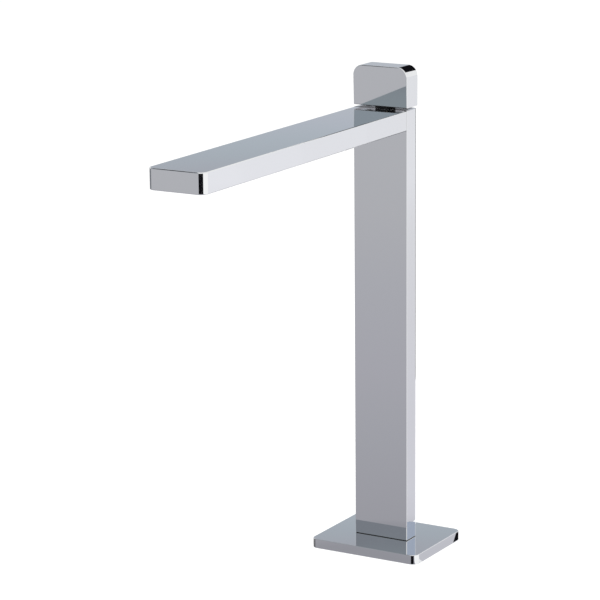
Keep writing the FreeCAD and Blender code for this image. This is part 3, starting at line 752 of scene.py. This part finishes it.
housing_low, housing_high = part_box("aerator_housing")
lip_top = housing_low.z + HOUSING_LIP_HEIGHT
housing = lathe(
    [
        (HOUSING_LIP_RADIUS, housing_low.z),
        (HOUSING_RADIUS, housing_low.z),
        (HOUSING_RADIUS, housing_high.z),
        (HOUSING_BORE_RADIUS, housing_high.z),
        (HOUSING_BORE_RADIUS, lip_top),
        (HOUSING_LIP_RADIUS, lip_top),
    ],
    0,
    OUTLET_Y,
)
round_over(housing, sharp_edges(housing), HOUSING_EASING, HOUSING_SEGMENTS)
all_smooth(housing)
finished(housing, "aerator_sleeve", chrome, "tap_body", "chrome_plate", "aerator_housing")
white_acetal = moulded_acetal(
    "white_acetal",
    ACETAL_WHITE,
    ACETAL_WHITE_SHEEN,
    dark=(0.78, 0.79, 0.79),
    light=(0.86, 0.87, 0.87),
)
paint(white_acetal, "aerator_insert")
paint(brass, "outlet_ring")
paint(steel, "aerator_screen")
paint(rubber, "aerator_gasket")


# Knob
# A solid brass slab a little larger than the column, with two rounded top corners and its front leaning out
# at the top, chrome plated. It sits on the spindle, held by a grub screw at the back behind a small plug.

KNOB_LOW, KNOB_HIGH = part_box("knob")
KNOB_TOP_RADIUS = 0.0065
KNOB_TOP_SEGMENTS = 16
KNOB_RIM_RADIUS = 0.0005
KNOB_RIM_SEGMENTS = 5
KNOB_LEAN = math.radians(1.5)
CLIP_ROOM_RADIUS = 0.0064
CLIP_ROOM_DEPTH = 0.0005
SPINDLE_BORE_RADIUS = 0.00305
SPINDLE_BORE_TOP = 0.3061
GRUB_Z = 0.2986
GRUB_HOLE_RADIUS = 0.00205
GRUB_HOLE_DEPTH = 0.0042
PLUG_RADIUS = 0.002
PLUG_DEPTH = 0.0015
PLUG_EASING = 0.00012
PLUG_SEGMENTS = 3


def into_the_back(bm, verts):
    """Turns what was made level to face backwards, at the grub screw's place in the knob's back."""
    bmesh.ops.rotate(bm, cent=(0, 0, 0), matrix=Matrix.Rotation(math.pi / 2, 3, "X"), verts=verts)
    bmesh.ops.translate(bm, vec=(0, KNOB_HIGH.y, GRUB_Z), verts=verts)


knob_front = -KNOB_HIGH.y
knob_middle = (KNOB_LOW.z + KNOB_HIGH.z) / 2
knob = slab(Vector((KNOB_LOW.x, knob_front, KNOB_LOW.z)), KNOB_HIGH)
top_corners = [
    edge
    for edge in edges_where(knob, lambda place: near(place.z, KNOB_HIGH.z))
    if near(edge.verts[0].co.x, edge.verts[1].co.x)
]
round_over(knob, top_corners, KNOB_TOP_RADIUS, KNOB_TOP_SEGMENTS)
leaning = Matrix.Identity(4)
leaning[1][2] = -math.tan(KNOB_LEAN)
from_middle = Matrix.Translation((0, 0, -knob_middle))
front_corners = [vertex for vertex in knob.verts if near(vertex.co.y, knob_front)]
bmesh.ops.transform(knob, matrix=leaning, space=from_middle, verts=front_corners)
knob.normal_update()
for outwards in (Vector((0, -1, 0)), Vector((0, 1, 0))):
    broad = max(knob.faces, key=lambda face: face.normal.dot(outwards))
    round_over(knob, list(broad.edges), KNOB_RIM_RADIUS, KNOB_RIM_SEGMENTS)

clip_rim = round_hole(knob, CLIP_ROOM_RADIUS, 0, 0, KNOB_LOW.z)
pierce(knob, flat_at(knob, (0, 0, -1), -KNOB_LOW.z), [clip_rim])
clip_roof = sink(knob, clip_rim, (0, 0, CLIP_ROOM_DEPTH))
bore_rim = sink(knob, clip_roof, (0, 0, 0), SPINDLE_BORE_RADIUS / CLIP_ROOM_RADIUS)
cap(knob, sink(knob, bore_rim, (0, 0, SPINDLE_BORE_TOP - KNOB_LOW.z - CLIP_ROOM_DEPTH)))
back = flat_at(knob, (0, 1, 0), KNOB_HIGH.y)
grub_rim = round_hole(knob, GRUB_HOLE_RADIUS, 0, 0, 0, SMALL_HOLE_STEPS)
into_the_back(knob, list({vertex for edge in grub_rim for vertex in edge.verts}))
pierce(knob, back, [grub_rim])
cap(knob, sink(knob, grub_rim, (0, -GRUB_HOLE_DEPTH, 0)))
finished(knob, "chromed_knob", chrome, "knob_set", "chrome_plate", "knob")

plug = bmesh.new()
plug_rim = round_hole(plug, PLUG_RADIUS, 0, 0, 0, SMALL_HOLE_STEPS)
cap(plug, plug_rim)
cap(plug, sink(plug, plug_rim, (0, 0, PLUG_DEPTH)))
bmesh.ops.recalc_face_normals(plug, faces=plug.faces)
for face in plug.faces:
    face.smooth = len(face.verts) == 4
round_over(plug, sharp_edges(plug), PLUG_EASING, PLUG_SEGMENTS)
into_the_back(plug, plug.verts)
finished(plug, "grub_screw_plug", chrome, "knob_set", "chrome_plate", "knob_plug")
paint(steel, "knob_grub_screw")


# Studio floor and backdrop
# A pale matt floor that runs out into a white backdrop, with soft light from all sides.
# Both look white to the eye and to the chrome, and give the tap less light than they show.

FLOOR_HALF = 8.0
FLOOR_DROP = 0.0003
FLOOR_COLOUR = (0.36, 0.36, 0.36)
FLOOR_GLOW = 0.85
BACKDROP_COLOUR = (1, 1, 1)
BACKDROP_STRENGTH = 1.0
FILL_STRENGTH = 0.6


def seen_directly(tree):
    """One for the eye, for polished metal and through glass, and nothing for every other ray."""
    path = tree.nodes.new("ShaderNodeLightPath")
    seen = path.outputs["Is Camera Ray"]
    for kind in ("Is Glossy Ray", "Is Transmission Ray"):
        either = tree.nodes.new("ShaderNodeMath")
        either.operation = "MAXIMUM"
        tree.links.new(seen, either.inputs[0])
        tree.links.new(path.outputs[kind], either.inputs[1])
        seen = either.outputs[0]
    return seen


def show(tree, lighting, look, output_kind):
    """Puts one shader where the surface is seen directly, and the other where it only lights the set."""
    choice = tree.nodes.new("ShaderNodeMixShader")
    tree.links.new(seen_directly(tree), choice.inputs["Fac"])
    tree.links.new(lighting.outputs[0], choice.inputs[1])
    tree.links.new(look.outputs[0], choice.inputs[2])
    output = tree.nodes.new(output_kind)
    tree.links.new(choice.outputs[0], output.inputs["Surface"])


floor_sheet = bmesh.new()
bmesh.ops.create_grid(floor_sheet, x_segments=1, y_segments=1, size=FLOOR_HALF)
bmesh.ops.translate(floor_sheet, vec=(0, 0, -FLOOR_DROP), verts=floor_sheet.verts)
floor = set_up(floor_sheet, "floor")
floor_paint = bpy.data.materials.new("floor_paint")
floor_paint.use_nodes = True
tree = floor_paint.node_tree
tree.nodes.clear()
matt = tree.nodes.new("ShaderNodeBsdfDiffuse")
matt.inputs["Color"].default_value = (*FLOOR_COLOUR, 1)
glow = tree.nodes.new("ShaderNodeEmission")
glow.inputs["Strength"].default_value = FLOOR_GLOW
both = tree.nodes.new("ShaderNodeAddShader")
tree.links.new(matt.outputs[0], both.inputs[0])
tree.links.new(glow.outputs[0], both.inputs[1])
show(tree, matt, both, "ShaderNodeOutputMaterial")
floor.data.materials.append(floor_paint)

world = bpy.data.worlds.new("studio")
world.use_nodes = True
bpy.context.scene.world = world
tree = world.node_tree
tree.nodes.clear()
backdrop = tree.nodes.new("ShaderNodeBackground")
backdrop.inputs["Color"].default_value = (*BACKDROP_COLOUR, 1)
backdrop.inputs["Strength"].default_value = BACKDROP_STRENGTH
fill = tree.nodes.new("ShaderNodeBackground")
fill.inputs["Strength"].default_value = FILL_STRENGTH
show(tree, fill, backdrop, "ShaderNodeOutputWorld")


# Floor cards
# Sheets of grey, white and black card that lie on the floor round the tap, as they do where polished
# metal is photographed. Only the chrome sees them. The large ones run darker towards the tap's foot, a
# painted shade of the tap, as no shadow falls on them.

BLACK = (0.006, 0.006, 0.008)
CARD_LIFT = 0.0002
FLAG_LIFT = 0.0004
CARD_REACH = 5.0
GREY_CARD_AZIMUTHS = (52, 20, -20, -60, -100, -140, -172)
# Painted shade: the grey card's tones darken towards the tap's foot.
GREY_TONES_PAINTED_SHADE = [
    (0.04, (0.350, 0.350, 0.385)),
    (0.052, (0.358, 0.356, 0.392)),
    (0.062, (0.398, 0.395, 0.432)),
    (0.13, (0.412, 0.408, 0.448)),
    (0.25, (0.430, 0.430, 0.470)),
    (0.45, (0.460, 0.455, 0.500)),
    (0.75, (0.480, 0.480, 0.520)),
    (1.10, (0.510, 0.510, 0.540)),
    (1.90, (0.530, 0.535, 0.565)),
]
LIGHT_WEDGES = ((135, 145, 1.055), (145, 148, 1.035), (148, 151, 1.015), (151, 155, 1.0))
LIGHT_CARD_AZIMUTHS = (155, 167)
# Painted shade: the light cards' tones darken towards the tap's foot.
LIGHT_TONES_PAINTED_SHADE = [
    (0.045, (0.63, 0.63, 0.68)),
    (0.060, (0.645, 0.645, 0.695)),
    (0.080, (0.715, 0.71, 0.77)),
    (0.13, (0.745, 0.74, 0.80)),
    (0.33, (0.75, 0.745, 0.80)),
    (0.64, (0.78, 0.775, 0.82)),
    (1.00, (0.83, 0.83, 0.865)),
    (1.30, (0.905, 0.905, 0.945)),
    (2.00, (0.90, 0.905, 0.935)),
]
WHITE_CARD_AZIMUTHS = (62, 95, 130)
WHITE_CARD_TONE = (1.1, 1.1, 1.1)
GREY_REAR_AZIMUTHS = (-125, -138, -152)
GREY_REAR_START = 1.0
GREY_REAR_TONE = (0.33, 0.33, 0.36)
BLACK_REAR_REACHES = (0.42, 2.2)
BLACK_RIGHT_AZIMUTHS = (153.5, 166, 178)
BLACK_LEFT_AZIMUTHS = (182, 193, 204)


def shade(tree, tones, measure, socket):
    """Runs a colour through tones, each given with its distance from the tap's foot or its height."""
    place = tree.nodes.new("ShaderNodeTexCoord").outputs["Object"]
    if measure == "distance":
        reach = tree.nodes.new("ShaderNodeVectorMath")
        reach.operation = "LENGTH"
        tree.links.new(place, reach.inputs[0])
        value = reach.outputs["Value"]
    else:
        split = tree.nodes.new("ShaderNodeSeparateXYZ")
        tree.links.new(place, split.inputs[0])
        value = split.outputs["Z"]
    first, last = tones[0][0], tones[-1][0]
    spread = tree.nodes.new("ShaderNodeMapRange")
    spread.inputs["From Min"].default_value = first
    spread.inputs["From Max"].default_value = last
    tree.links.new(value, spread.inputs["Value"])
    ramp = tree.nodes.new("ShaderNodeValToRGB")
    stops = ramp.color_ramp.elements
    while len(stops) < len(tones):
        stops.new(1.0)
    for stop, (mark, colour) in zip(stops, tones):
        stop.position = (mark - first) / (last - first)
        stop.color = (*colour, 1)
    tree.links.new(spread.outputs["Result"], ramp.inputs["Fac"])
    tree.links.new(ramp.outputs["Color"], socket)


def card(name, sheets, tones, measure=None):
    """Flat sheets that only the chrome sees, in one tone or shaded by their distance or their height."""
    bm = bmesh.new()
    for sheet in sheets:
        bm.faces.new([bm.verts.new(corner) for corner in sheet])
    board = set_up(bm, name)
    board.visible_camera = False
    board.visible_diffuse = False
    board.visible_shadow = False
    board.visible_transmission = False
    finish = bpy.data.materials.new(name)
    finish.use_nodes = True
    tree = finish.node_tree
    tree.nodes.clear()
    glow = tree.nodes.new("ShaderNodeEmission")
    if measure:
        shade(tree, tones, measure, glow.inputs["Color"])
    else:
        glow.inputs["Color"].default_value = (*tones, 1)
    output = tree.nodes.new("ShaderNodeOutputMaterial")
    tree.links.new(glow.outputs[0], output.inputs["Surface"])
    board.data.materials.append(finish)


def towards(azimuth, distance, start=(0, 0)):
    """The place at a distance from a start, with azimuth 0 in front of the tap and 90 to its right."""
    angle = math.radians(azimuth)
    return start[0] + distance * math.sin(angle), start[1] - distance * math.cos(angle)


def fan(azimuths, distance, start=(0, 0)):
    return [towards(azimuth, distance, start) for azimuth in azimuths]


def band(azimuths, inner, outer, start=(0, 0)):
    """The outline of a bent strip between two distances from a start."""
    return fan(azimuths, inner, start) + fan(azimuths[::-1], outer, start)


def level_sheet(height, *places):
    return [(x, y, height) for x, y in places]


corner_x = BASE_HIGH.x - BASE_CORNER_RADIUS
corner_y = BASE_HIGH.y - BASE_CORNER_RADIUS
front_right = (corner_x, -corner_y)
front_left = (-corner_x, -corner_y)
rear_left = (-corner_x, corner_y)
side_start = (BASE_HIGH.x, -corner_y)
side_end = (BASE_HIGH.x, corner_y)
grey_fan = fan(GREY_CARD_AZIMUTHS, CARD_REACH, front_right)
card("grey_floor_card", [level_sheet(CARD_LIFT, front_right, *grey_fan, rear_left)], GREY_TONES_PAINTED_SHADE, "distance")
for first, second, gain in LIGHT_WEDGES:
    card(
        f"light_floor_card_{first}",
        [level_sheet(CARD_LIFT, side_start, *fan((first, second), CARD_REACH, side_start))],
        [(mark, tuple(gain * part for part in colour)) for mark, colour in LIGHT_TONES_PAINTED_SHADE],
        "distance",
    )
light_far_ends = [
    towards(azimuth, CARD_REACH, start)
    for azimuth, start in zip(LIGHT_CARD_AZIMUTHS, (side_start, side_end))
]
card(
    "light_floor_card",
    [level_sheet(CARD_LIFT, side_start, *light_far_ends, side_end)],
    LIGHT_TONES_PAINTED_SHADE,
    "distance",
)
white_fan = fan(WHITE_CARD_AZIMUTHS, CARD_REACH, front_right)
card("white_floor_card", [level_sheet(CARD_LIFT, front_right, *white_fan)], WHITE_CARD_TONE)
grey_band = band(GREY_REAR_AZIMUTHS, GREY_REAR_START, CARD_REACH)
card("grey_rear_floor_card", [level_sheet(FLAG_LIFT, *grey_band)], GREY_REAR_TONE)
for side, corner_of_column, azimuths in (
    ("right", (COLUMN_HIGH.x, COLUMN_HIGH.y), BLACK_RIGHT_AZIMUTHS),
    ("left", (COLUMN_LOW.x, COLUMN_HIGH.y), BLACK_LEFT_AZIMUTHS),
):
    black_band = band(azimuths, *BLACK_REAR_REACHES, corner_of_column)
    card(f"black_rear_floor_card_{side}", [level_sheet(FLAG_LIFT, *black_band)], BLACK)


# Standing cards
# Two bent walls of card on the tap's left, one behind it and one in front of it. The tops of the spout and
# the knob mirror the rear one, and the knob's front shows the other by way of the spout's top.

REAR_CARD_DISTANCE = 2.2
REAR_CARD_AZIMUTHS = (-112, -130, -148, -166, -184)
REAR_CARD_HEIGHTS = (0.0, 1.0)
REAR_CARD_TONES = [
    (0.610, (0.507, 0.536, 0.584)),
    (0.640, (0.515, 0.548, 0.603)),
    (0.665, (0.489, 0.523, 0.588)),
    (0.690, (0.452, 0.503, 0.556)),
    (0.712, (0.430, 0.476, 0.527)),
    (0.740, (0.418, 0.435, 0.487)),
]
FRONT_CARD_DISTANCE = 2.0
FRONT_CARD_AZIMUTHS = (-75, -52, -29, -6)
FRONT_CARD_HEIGHTS = (0.0, 2.4)
FRONT_CARD_TONES = [
    (0.300, (0.42, 0.43, 0.46)),
    (0.480, (0.318, 0.363, 0.405)),
    (0.590, (0.318, 0.363, 0.405)),
    (0.625, (0.262, 0.280, 0.315)),
    (0.668, (0.262, 0.280, 0.315)),
    (0.690, (0.305, 0.348, 0.378)),
]


def wall(feet, bottom, top):
    """Upright sheets side by side, on a row of feet."""
    return [
        [(*first, bottom), (*second, bottom), (*second, top), (*first, top)]
        for first, second in zip(feet, feet[1:])
    ]


card(
    "blue_grey_rear_card",
    wall(fan(REAR_CARD_AZIMUTHS, REAR_CARD_DISTANCE), *REAR_CARD_HEIGHTS),
    REAR_CARD_TONES,
    "height",
)
card(
    "grey_front_card",
    wall(fan(FRONT_CARD_AZIMUTHS, FRONT_CARD_DISTANCE), *FRONT_CARD_HEIGHTS),
    FRONT_CARD_TONES,
    "height",
)


# Overhead card and flags
# A grey card hangs level over the left of the set. Two narrow black flags arch over the tap, and the
# rounded top edges of the spout and the knob draw them out into fine dark lines.

CEILING_HEIGHT = 2.4
CEILING_REACHES = (1.2, 3.6)
CEILING_AZIMUTHS = (-36, -55, -80, -115, -150)
CEILING_TONE = (0.30, 0.31, 0.33)
STRIP_DISTANCE = 1.0
STRIP_HALF_WIDTH = 1.3
SPOUT_FLAG_PATH = ((18, -34.3), (25, -36.2), (32.2, -39.3), (42.4, -46.6), (51, -58.5), (56, -74))
HANDLE_FLAG_PATH = ((14, -29.5), (25, -31.6), (36.4, -36.3), (47, -44.4), (56, -58.3), (60.5, -76))


def overhead_strip(start, path):
    """Sheets that follow a path of elevations and azimuths over a start."""
    sides = []
    for elevation, azimuth in path:
        height = math.radians(elevation)
        reach = STRIP_DISTANCE * math.cos(height)
        spread = STRIP_HALF_WIDTH / math.cos(height)
        ends = fan((azimuth - spread, azimuth + spread), reach, start)
        sides.append([(*end, start.z + STRIP_DISTANCE * math.sin(height)) for end in ends])
    return [[*first, *reversed(second)] for first, second in zip(sides, sides[1:])]


ceiling_band = band(CEILING_AZIMUTHS, *CEILING_REACHES)
card("grey_ceiling_card", [level_sheet(CEILING_HEIGHT, *ceiling_band)], CEILING_TONE)
spout_tip = Vector((0, SPOUT_LOW.y, SPOUT_HIGH.z))
knob_brow = Vector((0, KNOB_LOW.y, KNOB_HIGH.z))
card("black_spout_flag", overhead_strip(spout_tip, SPOUT_FLAG_PATH), BLACK)
card("black_handle_flag", overhead_strip(knob_brow, HANDLE_FLAG_PATH), BLACK)


# Small flags
# Small cards that each darken one rounded corner: the knob's right top corner, the two corners of the
# spout's tip and three corners of the plate. A blue card far behind tints the strip below the knob's black.

BLUE_CARD_DISTANCE = 6.0
BLUE_CARD_AZIMUTHS = (149.5, 153.6)
BLUE_CARD_HEIGHTS = (1.755, 2.18)
BLUE_CARD_TONE = (0.48, 0.54, 0.66)
KNOB_FLAG_FEET = ((-0.16, 0.3), (0.132, 0.3))
KNOB_FLAG_HEIGHTS = (0.41, 0.54)
TIP_FLAG_DISTANCE = 0.9
TIP_FLAG_HEIGHTS = (0.092, 0.13)
BLACK_TIP_AZIMUTHS = (-5, 17, 39, 61)
GREY_TIP_AZIMUTHS = (-75, -100, -125, -148)
GREY_TIP_TONE = (0.22, 0.23, 0.25)
CORNER_FLAG_REACH = 0.02
RIGHT_CORNER_AZIMUTHS = (15.4, 36.9)
RIGHT_FLAG_AZIMUTHS = (2, 23, 45)
LEFT_CORNER_AZIMUTHS = (-17, -60)
LEFT_FLAG_AZIMUTHS = (-64, -107, -150)
LEFT_FLAG_TONE = (0.19, 0.19, 0.20)
REAR_FLAG_OUTLINE = (
    (BASE_HIGH.x, 0.0203),
    (0.0467, 0.0402),
    (0.0455, 0.0465),
    (0.026, 0.0475),
    (0.026, BASE_HIGH.y),
)

blue_feet = fan(BLUE_CARD_AZIMUTHS, BLUE_CARD_DISTANCE)
card("blue_rear_card", wall(blue_feet, *BLUE_CARD_HEIGHTS), BLUE_CARD_TONE)
card("black_knob_flag", wall(KNOB_FLAG_FEET, *KNOB_FLAG_HEIGHTS), BLACK)
tip_x = SPOUT_HIGH.x - TIP_RADIUS
tip_y = SPOUT_LOW.y + TIP_RADIUS
for name, corner, azimuths, tone in (
    ("black_tip_flag", (tip_x, tip_y), BLACK_TIP_AZIMUTHS, BLACK),
    ("grey_tip_flag", (-tip_x, tip_y), GREY_TIP_AZIMUTHS, GREY_TIP_TONE),
):
    card(name, wall(fan(azimuths, TIP_FLAG_DISTANCE, corner), *TIP_FLAG_HEIGHTS), tone)
for name, corner, on_corner, azimuths, tone in (
    ("black_corner_flag", front_right, RIGHT_CORNER_AZIMUTHS, RIGHT_FLAG_AZIMUTHS, BLACK),
    ("dark_corner_flag", front_left, LEFT_CORNER_AZIMUTHS, LEFT_FLAG_AZIMUTHS, LEFT_FLAG_TONE),
):
    start, end = fan(on_corner, BASE_CORNER_RADIUS, corner)
    rays = zip(azimuths, (start, start, end))
    outer_ends = [towards(azimuth, CORNER_FLAG_REACH, foot) for azimuth, foot in rays]
    card(name, [level_sheet(FLAG_LIFT, start, *outer_ends, end)], tone)
card("black_rear_flag", [level_sheet(FLAG_LIFT, *REAR_FLAG_OUTLINE)], BLACK)


# Light and camera
# A square softbox over the left front, which the chrome doesn't mirror, and a long lens from the right
# front, a little above the tap.

KEY_SIZE = 1.6
KEY_POWER = 22.0
KEY_PLACE = (-0.5, -0.5, 1.7)
KEY_AIM = (0, 0, 0.1)
CAMERA_PLACE = (0.8325, -1.5224, 0.5711)
CAMERA_TURN = math.radians(30.486)
CAMERA_TILT = math.radians(13.22)
CAMERA_ROLL = math.radians(-0.514)
CAMERA_LENS = 166.83
SENSOR_WIDTH = 36.0
VIEW_DEPTH = 50.0

key = bpy.data.lights.new("overhead_softbox", "AREA")
key.shape = "RECTANGLE"
key.size = KEY_SIZE
key.size_y = KEY_SIZE
key.energy = KEY_POWER
key_lamp = bpy.data.objects.new("overhead_softbox", key)
bpy.context.scene.collection.objects.link(key_lamp)
key_lamp.location = KEY_PLACE
key_lamp.rotation_euler = (Vector(KEY_AIM) - Vector(KEY_PLACE)).to_track_quat("-Z", "Y").to_euler()
key_lamp.visible_glossy = False

eye = bpy.data.cameras.new("camera")
eye.lens = CAMERA_LENS
eye.sensor_width = SENSOR_WIDTH
eye.clip_end = VIEW_DEPTH
camera = bpy.data.objects.new("camera", eye)
bpy.context.scene.collection.objects.link(camera)
camera.matrix_world = (
    Matrix.Translation(CAMERA_PLACE)
    @ Matrix.Rotation(CAMERA_TURN, 4, "Z")
    @ Matrix.Rotation(math.pi / 2 - CAMERA_TILT, 4, "X")
    @ Matrix.Rotation(CAMERA_ROLL, 4, "Z")
)
bpy.context.scene.camera = camera
bpy.context.scene.view_settings.view_transform = "Standard"
